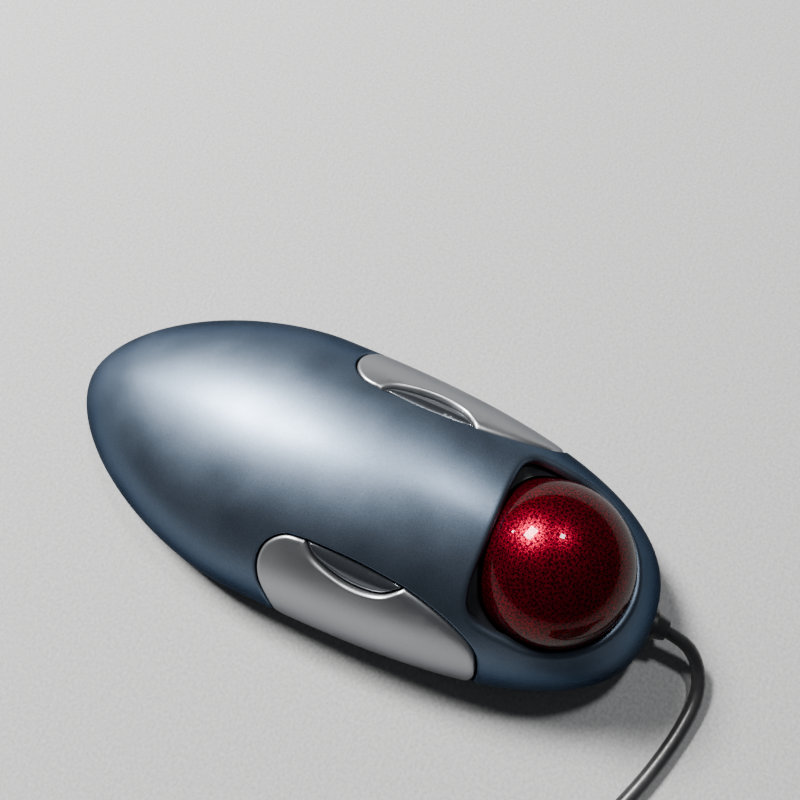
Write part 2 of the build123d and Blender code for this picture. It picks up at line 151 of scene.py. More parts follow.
# ---- node materials -------------------------------------------------------------------
class Nodes:
    """Builds one node material: a Principled shader and what feeds it."""

    def __init__(self, name, **shader):
        self.material = bpy.data.materials.new(name)
        self.material.use_nodes = True
        self.tree = self.material.node_tree
        self.shader = self.tree.nodes["Principled BSDF"]
        for socket, value in shader.items():
            self.shader.inputs[socket.replace("_", " ")].default_value = value
        self.place = self.add("ShaderNodeTexCoord").outputs["Object"]

    def add(self, kind, inputs=(), **settings):
        node = self.tree.nodes.new(kind)
        for key, value in settings.items():
            setattr(node, key, value)
        for key, value in dict(inputs).items():
            if isinstance(value, bpy.types.NodeSocket):
                self.tree.links.new(value, node.inputs[key])
            else:
                node.inputs[key].default_value = value
        return node

    def noise(self, size, detail=2.0, roughness=0.5, stretch=None):
        """Noise whose features are about size millimetres, longer along an axis if stretched."""
        place = self.place
        if stretch:
            place = self.add("ShaderNodeMapping", {"Vector": place, "Scale": stretch}).outputs["Vector"]
        node = self.add("ShaderNodeTexNoise", {"Vector": place, "Scale": 1 / (size * MM), "Detail": detail,
                                               "Roughness": roughness})
        return node.outputs["Fac"]

    def cells(self, size):
        return self.add("ShaderNodeTexVoronoi", {"Vector": self.place, "Scale": 1 / (size * MM)})

    def spread(self, value, low, high, from_low=0.0, from_high=1.0):
        node = self.add("ShaderNodeMapRange", {"Value": value, "From Min": from_low, "From Max": from_high,
                                               "To Min": low, "To Max": high})
        return node.outputs["Result"]

    def mix(self, share, a, b):
        node = self.add("ShaderNodeMix", data_type="RGBA")
        for key, value in (("Factor", share), ("A", a), ("B", b)):
            socket = [s for s in node.inputs if s.name == key and s.enabled][0]
            if isinstance(value, bpy.types.NodeSocket):
                self.tree.links.new(value, socket)
            else:
                socket.default_value = value
        return [s for s in node.outputs if s.enabled][0]

    def feed(self, socket, value):
        self.tree.links.new(value, self.shader.inputs[socket])

    def bump(self, height, depth, strength=1.0):
        """Relief of depth millimetres between a height of 0 and 1."""
        node = self.add("ShaderNodeBump", {"Height": height, "Distance": depth * MM, "Strength": strength})
        self.feed("Normal", node.outputs["Normal"])


def colour(r, g, b):
    return (r, g, b, 1.0)


def metallic_paint(name, dark, light, roughness, metallic, grain, coat, edge):
    m = Nodes(name, Metallic=metallic, Coat_Weight=coat, Coat_Roughness=0.12, Specular_Tint=edge)
    fine = m.noise(grain, detail=3.0, roughness=0.65)
    broad = m.noise(16.0, detail=2.0)
    m.feed("Base Color", m.mix(m.spread(fine, 0.0, 1.0, 0.3, 0.7), dark, light))
    m.feed("Roughness", m.spread(broad, roughness - 0.03, roughness + 0.04, 0.3, 0.7))
    m.bump(fine, 0.012, 0.5)
    return m.material


def moulded_plastic(name, base, roughness, grain=0.35, depth=0.02, coat=0.0):
    m = Nodes(name, Coat_Weight=coat, Coat_Roughness=0.08)
    fine, broad = m.noise(grain, detail=3.0), m.noise(9.0)
    lighter = tuple(min(1.0, c * 1.35 + 0.004) for c in base[:3]) + (1.0,)
    m.feed("Base Color", m.mix(m.spread(broad, 0.0, 1.0, 0.35, 0.65), base, lighter))
    m.feed("Roughness", m.spread(fine, roughness - 0.06, roughness + 0.06, 0.3, 0.7))
    m.bump(fine, depth, 0.6)
    return m.material


def worked_metal(name, base, roughness, stretch=(1, 1, 1)):
    m = Nodes(name, Metallic=1.0)
    lines = m.noise(0.5, detail=4.0, stretch=stretch)
    darker = tuple(c * 0.8 for c in base[:3]) + (1.0,)
    m.feed("Base Color", m.mix(m.spread(lines, 0.0, 1.0, 0.35, 0.65), darker, base))
    m.feed("Roughness", m.spread(lines, roughness - 0.06, roughness + 0.08, 0.3, 0.7))
    m.bump(lines, 0.01, 0.5)
    return m.material


def circuit_board(name):
    m = Nodes(name, Coat_Weight=0.6, Coat_Roughness=0.15)
    tracks = m.add("ShaderNodeTexBrick", {
        "Vector": m.place, "Scale": 260.0, "Mortar Size": 0.08, "Brick Width": 0.9, "Row Height": 0.35,
        "Color1": colour(0.010, 0.090, 0.035), "Color2": colour(0.012, 0.110, 0.042),
        "Mortar": colour(0.020, 0.170, 0.065)}).outputs["Color"]
    m.feed("Base Color", tracks)
    m.feed("Roughness", m.spread(m.noise(1.5), 0.3, 0.5, 0.3, 0.7))
    return m.material


def clear_plastic(name, tint):
    m = Nodes(name, Transmission_Weight=0.9, IOR=1.5)
    m.feed("Base Color", m.mix(m.noise(2.0), tint, tuple(c * 0.9 for c in tint[:3]) + (1.0,)))
    m.feed("Roughness", m.spread(m.noise(0.6), 0.03, 0.10, 0.3, 0.7))
    return m.material


MATERIALS = {
    "cover_paint": metallic_paint("cover_paint", colour(0.062, 0.084, 0.118), colour(0.158, 0.200, 0.262),
                                  0.40, 1.0, 0.16, 0.0, colour(0.015, 0.022, 0.040)),
    "key_silver": metallic_paint("key_silver", colour(0.33, 0.34, 0.355), colour(0.44, 0.45, 0.465),
                                 0.38, 1.0, 0.2, 0.0, colour(0.20, 0.21, 0.23)),
    "small_key_gunmetal": metallic_paint("small_key_gunmetal", colour(0.07, 0.08, 0.09),
                                         colour(0.12, 0.13, 0.15), 0.22, 0.9, 0.25, 0.4,
                                         colour(0.3, 0.3, 0.3)),
    "base_black": moulded_plastic("base_black", colour(0.012, 0.012, 0.014), 0.42),
    "foot_rubber": moulded_plastic("foot_rubber", colour(0.022, 0.022, 0.024), 0.75, grain=0.5, depth=0.05),
    "screw_steel": worked_metal("screw_steel", colour(0.55, 0.56, 0.58), 0.35),
    "pin_steel": worked_metal("pin_steel", colour(0.62, 0.63, 0.65), 0.25, (0.1, 1, 1)),
    "board_green": circuit_board("board_green"),
    "chip_black": moulded_plastic("chip_black", colour(0.015, 0.015, 0.016), 0.5, grain=0.2),
    "can_metal": worked_metal("can_metal", colour(0.60, 0.60, 0.62), 0.3, (1, 1, 0.2)),
    "connector_white": moulded_plastic("connector_white", colour(0.72, 0.70, 0.64), 0.45),
    "socket_black": moulded_plastic("socket_black", colour(0.006, 0.006, 0.008), 0.16, grain=1.2, depth=0.006,
                                    coat=0.6),
    "bead_ceramic": moulded_plastic("bead_ceramic", colour(0.80, 0.79, 0.75), 0.12, grain=0.8, depth=0.004),
    "lens_clear": clear_plastic("lens_clear", colour(0.92, 0.94, 0.96)),
    "led_clear": clear_plastic("led_clear", colour(0.95, 0.35, 0.30)),
    "switch_black": moulded_plastic("switch_black", colour(0.018, 0.018, 0.020), 0.38, grain=0.25),
    "plunger_red": moulded_plastic("plunger_red", colour(0.45, 0.03, 0.02), 0.35, grain=0.25),
    "cable_black": moulded_plastic("cable_black", colour(0.010, 0.010, 0.011), 0.36, grain=0.9, depth=0.02),
    "tie_black": moulded_plastic("tie_black", colour(0.020, 0.020, 0.021), 0.55, grain=0.5),
    "plug_steel": worked_metal("plug_steel", colour(0.58, 0.59, 0.60), 0.28, (0.15, 1, 1)),
    "plug_insert": moulded_plastic("plug_insert", colour(0.70, 0.70, 0.68), 0.4),
    "contact_gold": worked_metal("contact_gold", colour(0.80, 0.55, 0.20), 0.25, (0.15, 1, 1)),
}


# ---- body form ------------------------------------------------------------------------
def superellipse(t, power):
    return np.maximum(1 - np.minimum(t, 1) ** power, 0) ** (1 / power)


def half_width(y):
    rear = superellipse(np.maximum(WIDEST_Y - y, 0) / (WIDEST_Y + FRONT), PLAN_REAR)
    front = superellipse(np.maximum(y - WIDEST_Y, 0) / (FRONT - WIDEST_Y), PLAN_FRONT)
    return HALF_WIDTH * np.where(y < WIDEST_Y, rear, front)


def crown(y):
    rear = superellipse(np.maximum(HIGHEST_Y - y, 0) / (HIGHEST_Y + FRONT), CROWN_REAR)
    front = superellipse(np.maximum(y - HIGHEST_Y, 0) / (FRONT - HIGHEST_Y), CROWN_FRONT)
    return EDGE_HEIGHT + (CROWN_HEIGHT - EDGE_HEIGHT) * np.where(y < HIGHEST_Y, rear, front)


def height(x, y):
    share = np.minimum(np.abs(x) / np.maximum(half_width(y), 1e-9), 1)
    return EDGE_HEIGHT + (crown(y) - EDGE_HEIGHT) * (1 - share ** ACROSS) ** (1 / UP)


# The skins are laid out flat before they are bent to the form. A place on the flat layout is
# as far from the middle, as a share of the outline's radius that way, as a quarter turn is
# along an arch, so that the steep sides get their length.
MIDDLE = np.array([0.0, WIDEST_Y])


def outline_radius(angle):
    low, high = np.zeros_like(angle), np.full_like(angle, LENGTH)
    for _ in range(46):
        middle = (low + high) / 2
        outside = np.abs(middle * np.cos(angle)) >= half_width(MIDDLE[1] + middle * np.sin(angle))
        low, high = np.where(outside, low, middle), np.where(outside, middle, high)
    return low


def to_flat(plan):
    away = np.asarray(plan, float) - MIDDLE
    reach = np.hypot(*away.T)
    edge = outline_radius(np.arctan2(away[:, 1], away[:, 0]))
    share = np.arcsin(np.minimum(reach / edge, 1)) * 2 / math.pi
    return away * (share * edge / np.maximum(reach, 1e-9))[:, None]


def to_form(flat):
    """Points of the body's outer form, in millimetres."""
    reach = np.hypot(*flat.T)
    edge = outline_radius(np.arctan2(flat[:, 1], flat[:, 0]))
    share = np.minimum(reach / edge, 1)
    plan = MIDDLE + flat * (np.sin(share * math.pi / 2) * edge / np.maximum(reach, 1e-9))[:, None]
    return np.column_stack([plan, height(plan[:, 0], plan[:, 1])])


def form_frame(flat):
    """Two tangents of the form, per flat millimetre, and its unit normal."""
    edge = outline_radius(np.arctan2(flat[:, 1], flat[:, 0]))
    share = np.hypot(*flat.T) / edge
    inside = flat * np.minimum(1, 0.994 / np.maximum(share, 1e-9))[:, None]
    step = 0.05
    tangents = [(to_form(inside + d) - to_form(inside - d)) / (2 * step)
                for d in (np.array([step, 0.0]), np.array([0.0, step]))]
    normal = np.cross(*tangents)
    return tangents[0], tangents[1], normal / np.linalg.norm(normal, axis=1)[:, None]


def step_inward(loop, amount):
    """Closed flat loop moved to its left by amount, measured on the form."""
    along = np.roll(loop, -1, 0) - np.roll(loop, 1, 0)
    tu, tv, normal = form_frame(loop)
    along = tu * along[:, :1] + tv * along[:, 1:]
    left = np.cross(normal, along)
    left /= np.maximum(np.linalg.norm(left, axis=1), 1e-12)[:, None]
    uu, uv, vv = (tu * tu).sum(1), (tu * tv).sum(1), (tv * tv).sum(1)
    a, b = (tu * left).sum(1), (tv * left).sum(1)
    det = uu * vv - uv * uv
    move = np.column_stack([(vv * a - uv * b) / det, (uu * b - uv * a) / det])
    return loop + move * np.reshape(amount, (-1, 1))


def step_open(run, first, last):
    """Open flat run moved sideways by an amount that goes from first to last along it."""
    amounts = np.linspace(first, last, len(run))
    along = np.gradient(run, axis=0)
    left = np.column_stack([-along[:, 1], along[:, 0]]) / np.linalg.norm(along, axis=1)[:, None]
    return run - left * amounts[:, None]


# ---- outlines of the pieces, right-hand side --------------------------------------------
KEY_REAR = [(20.6, -1.4), (21.4, -6.9), (24.4, -10.6), (28.3, -11.7), (32.3, -10.5), (35.6, -7.3),
            (38.9, -3.4)]
KEY_FRONT = [(21.1, 23.5), (22.0, 28.8), (23.8, 36.5), (26.5, 43.5), (30.4, 46.7), (34.6, 48.1)]
CRESCENT_INNER = [(20.6, -1.9), (20.4, 10.9), (21.1, 23.7)]
CRESCENT_OUTER = [(20.6, -1.9), (23.9, 2.1), (25.9, 10.9), (24.9, 18.7), (21.1, 23.7)]
OPENING_REAR_Y, OPENING_HALF, OPENING_FRONT_R = 36.7, 21.4, 20.9
OPENING_SQUARENESS = 6           # power of the superellipse at its rear; 2 would be an ellipse
# radii of the rounded corners of each outline, after each of its runs
KEY_CORNERS = [3.0, 4.0, 0.3, 0.5]
CRESCENT_CORNERS = [0.8, 0.8]
COVER_CORNERS = [1.2, 0, 0, 1.2, 1.2, 0, 0, 1.2]


def curve_through(points, step=0.5):
    """Catmull-Rom curve through the points, sampled every step or so."""
    p = np.array(points, float)
    p = np.vstack([2 * p[0] - p[1], p, 2 * p[-1] - p[-2]])
    made = []
    for a, b, c, d in zip(p, p[1:], p[2:], p[3:]):
        for t in np.linspace(0, 1, max(2, int(np.linalg.norm(c - b) / step)), endpoint=False):
            made.append(0.5 * (2 * b + (c - a) * t + (2 * a - 5 * b + 4 * c - d) * t ** 2
                               + (3 * b - a - 3 * c + d) * t ** 3))
    return np.array(made + [p[-2]])


def evenly(run, step=0.6):
    """The flat run with its points evenly spaced, so that no triangle along it is a long sliver."""
    gone = np.concatenate([[0], np.cumsum(np.linalg.norm(np.diff(run, axis=0), axis=1))])
    stations = np.linspace(0, gone[-1], max(3, int(gone[-1] / step)))
    return np.column_stack([np.interp(stations, gone, run[:, k]) for k in (0, 1)])


def within_body(curve):
    """The part of the curve inside the body's outline, ended exactly on the outline."""
    beyond = np.abs(curve[:, 0]) - half_width(curve[:, 1])
    last = int(np.argmax(beyond > 0)) - 1
    share = -beyond[last] / (beyond[last + 1] - beyond[last])
    end = curve[last] + share * (curve[last + 1] - curve[last])
    return np.vstack([curve[:last + 1], end])


def turn_corner(before, after, radius):
    """Points of a rounded corner between two flat runs, and the runs cut back to it."""
    def cut(run, from_end):
        run = run[::-1] if from_end else run
        gone = np.concatenate([[0], np.cumsum(np.linalg.norm(np.diff(run, axis=0), axis=1))])
        keep = gone > radius
        start = np.array([np.interp(radius, gone, run[:, k]) for k in (0, 1)])
        run = np.vstack([start, run[keep]])
        return run[::-1] if from_end else run
    corner = after[0]
    before, after = cut(before, True), cut(after, False)
    t = np.linspace(0, 1, max(4, int(radius / 0.35)))[1:-1, None]
    arc = (1 - t) ** 2 * before[-1] + 2 * t * (1 - t) * corner + t ** 2 * after[0]
    return before, arc, after


def closed_loop(runs, corners):
    """Joins flat runs into one closed loop, rounding the corner after each run by its radius."""
    runs = [np.array(r) for r in runs]
    arcs = []
    for i, radius in enumerate(corners):
        nxt = (i + 1) % len(runs)
        arc = np.zeros((0, 2))
        if radius:
            runs[i], arc, runs[nxt] = turn_corner(runs[i], runs[nxt], radius)
        arcs.append(arc)
    whole = np.vstack([part for pair in zip(runs, arcs) for part in pair])
    keep = np.linalg.norm(whole - np.roll(whole, 1, 0), axis=1) > 0.02
    return whole[keep]


def body_edge(start, end):
    """Flat run along the body's lower edge, counter-clockwise from one angle to another."""
    if end < start:
        end += 2 * math.pi
    angles = np.linspace(start, end, 3000)
    run = outline_radius(angles)[:, None] * np.column_stack([np.cos(angles), np.sin(angles)])
    return evenly(run)


def angle_of(flat_point):
    return math.atan2(flat_point[1], flat_point[0])


FINE = 0.02                      # between the samples of a curve that is spaced evenly afterwards
key_rear = evenly(to_flat(within_body(curve_through(KEY_REAR, FINE))))
key_front = evenly(to_flat(within_body(curve_through(KEY_FRONT, FINE))))
crescent_inner = evenly(to_flat(curve_through(CRESCENT_INNER, FINE)), 0.5)
crescent_outer = evenly(to_flat(curve_through(CRESCENT_OUTER, FINE)), 0.5)
FLIP = np.array([-1.0, 1.0])


def key_loop():
    edge = body_edge(angle_of(key_rear[-1]), angle_of(key_front[-1]))
    return closed_loop([key_rear, edge, key_front[::-1], crescent_outer[::-1]], KEY_CORNERS)


def crescent_loop():
    return closed_loop([crescent_outer, crescent_inner[::-1]], CRESCENT_CORNERS)


def cover_loop():
    front = body_edge(angle_of(key_front[-1]), math.pi - angle_of(key_front[-1]))
    rear = body_edge(math.pi - angle_of(key_rear[-1]), angle_of(key_rear[-1]) + 2 * math.pi)
    right = [key_rear[::-1], crescent_inner, key_front]
    left = [(r * FLIP)[::-1] for r in right[::-1]]
    return closed_loop([front, *left, rear, *right], COVER_CORNERS)


def opening_reach(angles):
    """Distance from the ball's axis to the opening's rim at each angle, seen from above."""
    across, along = np.abs(np.cos(angles)), np.sin(angles)
    n = OPENING_SQUARENESS
    squared = ((across / OPENING_HALF) ** n + (along / (BALL[1] - OPENING_REAR_Y)) ** n) ** (-1 / n)
    rounded = OPENING_FRONT_R + (OPENING_HALF - OPENING_FRONT_R) * (1 - along) ** 2
    return np.where(along < 0, squared, rounded)


def opening_loop():
    """Clockwise: squared at the rear, and a half circle round the front of the ball."""
    angles = np.linspace(2 * math.pi, 0, 300, endpoint=False)
    unit = np.column_stack([np.cos(angles), np.sin(angles)])
    return to_flat(BALL[:2] + opening_reach(angles)[:, None] * unit)


# ---- skins ------------------------------------------------------------------------------
GRID = 1.05
ROUNDING_STEPS = (0.07, 0.2, 0.4, 0.66, 1.0, 1.35)
SEAM_ROUNDING, RIM_ROUNDING = 0.45, 1.5    # of the cover: round the keys, and round the ball's opening
KEY_ROUNDING, CRESCENT_ROUNDING = 0.85, 0.4
BALL_CLEARANCE = 0.4                       # between the ball and the cover


def inside_loops(points, loops):
    """Even-odd test of flat points against closed loops."""
    inside = np.zeros(len(points), bool)
    for loop in loops:
        for (ax, ay), (bx, by) in zip(loop, np.roll(loop, -1, 0)):
            if ay == by:
                continue
            spans = (points[:, 1] < ay) != (points[:, 1] < by)
            inside ^= spans & (points[:, 0] < ax + (points[:, 1] - ay) * (bx - ax) / (by - ay))
    return inside


class Edges:
    """Distance on the form from a place to the nearest boundary, and that boundary's value."""

    def __init__(self, loops, values, closed=True):
        lines = [to_form(loop) for loop in loops]
        self.points = np.vstack(lines)
        self.values = np.concatenate([np.broadcast_to(v, len(loop)) for v, loop in zip(values, loops)])
        ahead, at = [], 0
        for line in lines:
            index = np.roll(np.arange(len(line)), -1)
            if not closed:
                index[-1] = len(line) - 1
            ahead.append(index + at)
            at += len(line)
        self.ahead = np.concatenate(ahead)
        self.behind = np.arange(at)
        self.behind[self.ahead] = np.arange(at)
        self.tree = KDTree(at)
        for i, p in enumerate(self.points):
            self.tree.insert(p, i)
        self.tree.balance()

    def to(self, places):
        near = np.array([self.tree.find(p)[1] for p in places])
        best = np.full(len(places), 1e9)
        for a, b in ((near, self.ahead[near]), (self.behind[near], near)):
            start, run = self.points[a], self.points[b] - self.points[a]
            length = np.maximum((run * run).sum(1), 1e-12)
            share = np.clip(((places - start) * run).sum(1) / length, 0, 1)
            best = np.minimum(best, np.linalg.norm(places - start - run * share[:, None], axis=1))
        return best, self.values[near]


def spaced(points, gap):
    """Leaves out points closer than gap to one kept before."""
    kept, taken = [], {}
    for i, (x, y) in enumerate(points):
        cell = (math.floor(x / gap), math.floor(y / gap))
        around = [j for dx in (-1, 0, 1) for dy in (-1, 0, 1)
                  for j in taken.get((cell[0] + dx, cell[1] + dy), ())]
        if all(math.hypot(points[j][0] - x, points[j][1] - y) >= gap for j in around):
            kept.append(i)
            taken.setdefault(cell, []).append(i)
    return np.array(kept, int)


def flat_mesh(loops, radii, creases=()):
    """Flat points and triangles between the loops, with rings of points where edges round over."""
    edges = Edges(loops, radii)
    rings = list(loops)
    for loop, radius in zip(loops, radii):
        radius = np.broadcast_to(radius, len(loop))
        for share in ROUNDING_STEPS:
            ring = step_inward(loop, radius * share)
            distance, _ = edges.to(to_form(ring))
            rings.append(ring[(distance > radius * share * 0.93) & inside_loops(ring, loops)])
    for crease in creases:
        distance, local = edges.to(to_form(crease))
        rings.append(crease[(distance > local * 0.3) & inside_loops(crease, loops)])
    border = sum(len(loop) for loop in loops)
    whole = np.vstack(rings)
    low, high = whole.min(0), whole.max(0)
    across = np.arange(low[0], high[0], GRID)
    up = np.arange(low[1], high[1], GRID)
    grid = np.array([(x, y) for y in up for x in across])
    grid = grid[inside_loops(grid, loops)]
    distance, local = edges.to(to_form(grid))
    grid = grid[distance > local * ROUNDING_STEPS[-1] + 0.5 * GRID]
    if len(creases):
        near = KDTree(sum(len(c) for c in creases))
        for i, p in enumerate(np.vstack(creases)):
            near.insert((*p, 0), i)
        near.balance()
        grid = grid[[near.find((*p, 0))[2] > 0.45 * GRID for p in grid]]
    points = np.vstack([whole, grid])
    kept = spaced(points, 0.03)
    kept = np.concatenate([np.arange(border), kept[kept >= border]])
    points = points[kept]
    borders, at = [], 0
    for loop in loops:
        borders += [(at + i, at + (i + 1) % len(loop)) for i in range(len(loop))]
        at += len(loop)
    made = delaunay_2d_cdt([Vector(p) for p in points], borders, [], 0, 1e-7)
    flat = np.array([v[:] for v in made[0]])
    faces = np.array(made[2])
    faces = faces[inside_loops(flat[faces].mean(1), loops)]
    return flat, faces, edges


def rounded_drop(distance, radius):
    left = np.maximum(radius - distance, 0)
    return radius - np.sqrt(np.maximum(radius ** 2 - left ** 2, 0))


def keep_off_ball(points, clearance):
    """Moves points that are inside the ball's clearance straight out of it."""
    away = points - BALL
    far = np.linalg.norm(away, axis=1)
    return BALL + away * np.maximum(1, (BALL_R + clearance) / far)[:, None]


def shell_mesh(loops, radii, thickness, relief=None, creases=(), clearance=None):
    """Closed shell on the body's form: outer skin with rounded edges, rim and back."""
    flat, faces, edges = flat_mesh(loops, radii, creases)
    form = to_form(flat)
    normal = form_frame(flat)[2]
    distance, local = edges.to(form)
    drop = rounded_drop(distance, local)
    if relief is not None:
        drop = drop + relief(form)
    outer = form - normal * drop[:, None]
    back = form - normal * thickness
    if clearance is not None:
        outer, back = keep_off_ball(outer, clearance), keep_off_ball(back, clearance)
    mesh = bmesh.new()
    top = [mesh.verts.new(Vector(p) * MM) for p in outer]
    low = [mesh.verts.new(Vector(p) * MM) for p in back]
    for a, b, c in faces:
        mesh.faces.new((top[a], top[b], top[c]))
        mesh.faces.new((low[c], low[b], low[a]))
    rim = [e for e in mesh.edges if e.is_boundary]
    mesh.verts.index_update()
    count = len(top)
    for edge in rim:
        if edge.verts[0].index >= count:
            continue
        face = edge.link_faces[0]
        loop = next(lp for lp in face.loops if lp.edge == edge)
        a, b = loop.vert.index, loop.link_loop_next.vert.index
        mesh.faces.new((top[b], top[a], low[a], low[b]))
    bmesh.ops.join_triangles(mesh, faces=mesh.faces[:], angle_face_threshold=0.5, angle_shape_threshold=0.6)
    return mesh


def finished(mesh, name, body, materials, sharp=40.0):
    """Turns a bmesh into a smooth-shaded piece with edges sharper than the angle kept crisp."""
    limit = math.radians(sharp)
    for edge in mesh.edges:
        edge.smooth = not (len(edge.link_faces) == 2 and edge.calc_face_angle(0) > limit)
    for face in mesh.faces:
        face.smooth = True
    data = bpy.data.meshes.new(name)
    mesh.to_mesh(data)
    mesh.free()
    for slot in materials:
        data.materials.append(MATERIALS[slot])
    obj = link(name, data, body)
    return obj


def mirrored_mesh(mesh):
    other = mesh.copy()
    for v in other.verts:
        v.co.x = -v.co.x
    bmesh.ops.reverse_faces(other, faces=other.faces[:])
    return other


# ---- posts and lugs under the skins -------------------------------------------------------
COVER_SCREWS = [(0, -64), (23, -38), (-23, -38), (0, 14)]
BOSS_R, BOSS_HOLE_R, BOSS_LOW, BOSS_HOLE_TOP = 3.2, 1.3, 12.0, 20.0
STEM = (25.3, 31.3, 1.5, 14.5)             # x, y, radius and lower end
SMALL_STEM = (23.2, 10.9, 1.2, 12.1)
LUG_X, LUG_WIDTH, LUG_DEPTH, LUG_LOW = 28.6, 3.0, 5.0, 15.9
HINGE_Y, HINGE_Z, HINGE_HOLE_R = -7.2, 18.5, 1.05
SUNK = 1.1                                 # from the form down to the posts' upper ends


def within_wall(plan):
    """Height a little below the form over each place seen from above."""
    steep = form_frame(to_flat(plan))[2][:, 2]
    return height(plan[:, 0], plan[:, 1]) - SUNK / np.maximum(steep, 0.3)


def join_rings(mesh, rings, closed):
    """Faces between rings of corners; the first and the last ring are capped, or joined if closed."""
    made = [[mesh.verts.new(Vector(p) * MM) for p in ring] for ring in rings]
    faces = []
    for here, below in zip(made, made[1:] + (made[:1] if closed else [])):
        for i in range(len(here)):
            j = (i + 1) % len(here)
            faces.append(mesh.faces.new((here[i], below[i], below[j], here[j])))
    if not closed:
        faces += [mesh.faces.new(made[0]), mesh.faces.new(made[-1])]
    bmesh.ops.recalc_face_normals(mesh, faces=faces)


def add_post(mesh, x, y, radius, low, hole=None):
    """Upright post from low up into the skin's wall, with a blind hole of a radius and an upper end."""
    turn = np.linspace(0, 2 * math.pi, 32, endpoint=False)
    circle = np.column_stack([np.cos(turn), np.sin(turn)])

    def ring(r, z=None):
        plan = np.array([x, y]) + r * circle
        return np.column_stack([plan, np.broadcast_to(within_wall(plan) if z is None else z, len(plan))])

    rings = [ring(radius), ring(radius, low)]
    if hole:
        rings += [ring(hole[0], low), ring(hole[0], hole[1])]
    join_rings(mesh, rings, False)


def add_lug(mesh):
    """Upright lug with a hole across it for the hinge pin."""
    turn = np.linspace(0, 2 * math.pi, 32, endpoint=False) + math.pi / 32
    across, up = np.cos(turn), np.sin(turn)
    ends = LUG_X - LUG_WIDTH / 2, LUG_X + LUG_WIDTH / 2
    corners = np.array([[ends[1], HINGE_Y - LUG_DEPTH / 2], [ends[1], HINGE_Y + LUG_DEPTH / 2]])
    top = within_wall(corners).min() - HINGE_Z
    rise = np.where(up > 0, top, HINGE_Z - LUG_LOW)
    reach = 1 / np.maximum(np.abs(across) / (LUG_DEPTH / 2), np.abs(up) / rise)

    def ring(x, radius):
        return np.column_stack([np.full(len(turn), x), HINGE_Y + radius * across, HINGE_Z + radius * up])

    join_rings(mesh, [ring(ends[0], HINGE_HOLE_R), ring(ends[0], reach), ring(ends[1], reach),
                      ring(ends[1], HINGE_HOLE_R)], True)


def make_cover():
    loops = [step_inward(cover_loop(), SEAM / 2), opening_loop()]
    mesh = shell_mesh(loops, [SEAM_ROUNDING, RIM_ROUNDING], WALL, clearance=BALL_CLEARANCE)
    for x, y in COVER_SCREWS:
        add_post(mesh, x, y, BOSS_R, BOSS_LOW, (BOSS_HOLE_R, BOSS_HOLE_TOP))
    return finished(mesh, "cover_skin", "case", ["cover_paint"])


cover = make_cover()
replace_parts(cover, "top_cover")


FRONT_FACET = (1.9, 1.5)         # widths of a key's facet at its two ends: along the front seam
HOLLOW_FACET = (1.5, 0.7)        # and round the crescent


def key_relief(form):
    """The keys fall away in a narrow facet along the front seam and round the crescent."""
    def along(curve, width_rear, width_front, slope, y_from, y_to):
        distance, _ = Edges([curve], [0.0], closed=False).to(form)
        share = np.clip((form[:, 1] - y_from) / (y_to - y_from), 0, 1)
        return np.maximum(width_rear + (width_front - width_rear) * share - distance, 0) * slope
    front = along(key_front, *FRONT_FACET, 0.42, 24, 48)
    hollow = along(crescent_outer, *HOLLOW_FACET, 0.5, -2, 7)
    return np.maximum(front, hollow)


def make_keys():
    loop = step_inward(key_loop(), SEAM / 2)
    creases = [step_open(key_front, *FRONT_FACET),
               step_open(crescent_outer, *(-width for width in HOLLOW_FACET))]
    mesh = shell_mesh([loop], [KEY_ROUNDING], WALL, relief=key_relief, creases=creases)
    add_post(mesh, *STEM)
    add_lug(mesh)
    other = mirrored_mesh(mesh)
    return (finished(mesh, "right_key_skin", "right_key_body", ["key_silver"]),
            finished(other, "left_key_skin", "left_key_body", ["key_silver"]))


right_key, left_key = make_keys()
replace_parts(right_key, "right_key")
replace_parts(left_key, "left_key")

RIDGE_SHARE = 0.35               # of the way from the crescent's inner edge to its outer edge
FAINT_SHARE = 0.72               # the same for the fainter crease


def crescent_relief(form):
    """Two long facets that meet in a ridge, the outer one with a second, fainter crease."""
    inner, outer = curve_through(CRESCENT_INNER), curve_through(CRESCENT_OUTER)
    start = np.interp(form[:, 1], inner[:, 1], inner[:, 0])
    end = np.interp(form[:, 1], outer[:, 1], outer[:, 0])
    share = np.clip((form[:, 0] - start) / np.maximum(end - start, 0.2), 0, 1)
    width = end - start
    towards_inner = np.maximum(RIDGE_SHARE - share, 0) * width * 0.55
    towards_outer = np.maximum(share - RIDGE_SHARE, 0) * width * 0.16
    beyond = np.maximum(share - FAINT_SHARE, 0) * width * 0.42
    return 0.35 + towards_inner + towards_outer + beyond


def make_small_keys():
    loop = step_inward(crescent_loop(), SEAM / 2)
    inner, outer = curve_through(CRESCENT_INNER), curve_through(CRESCENT_OUTER)
    stations = np.arange(-1.1, 23.1, 0.5)
    creases = []
    for share in (RIDGE_SHARE, FAINT_SHARE):
        start, end = (np.interp(stations, c[:, 1], c[:, 0]) for c in (inner, outer))
        creases.append(to_flat(np.column_stack([start + share * (end - start), stations])))
    mesh = shell_mesh([loop], [CRESCENT_ROUNDING], WALL + 0.6, relief=crescent_relief, creases=creases)
    add_post(mesh, *SMALL_STEM)
    other = mirrored_mesh(mesh)
    return (finished(mesh, "right_small_key_skin", "right_small_key_body", ["small_key_gunmetal"]),
            finished(other, "left_small_key_skin", "left_small_key_body", ["small_key_gunmetal"]))


right_small, left_small = make_small_keys()
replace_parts(right_small, "right_small_key")
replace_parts(left_small, "left_small_key")


# ---- ball -------------------------------------------------------------------------------
DOT_COUNT = 3300
DOT_R = 0.30
DOT_SIDES = 7


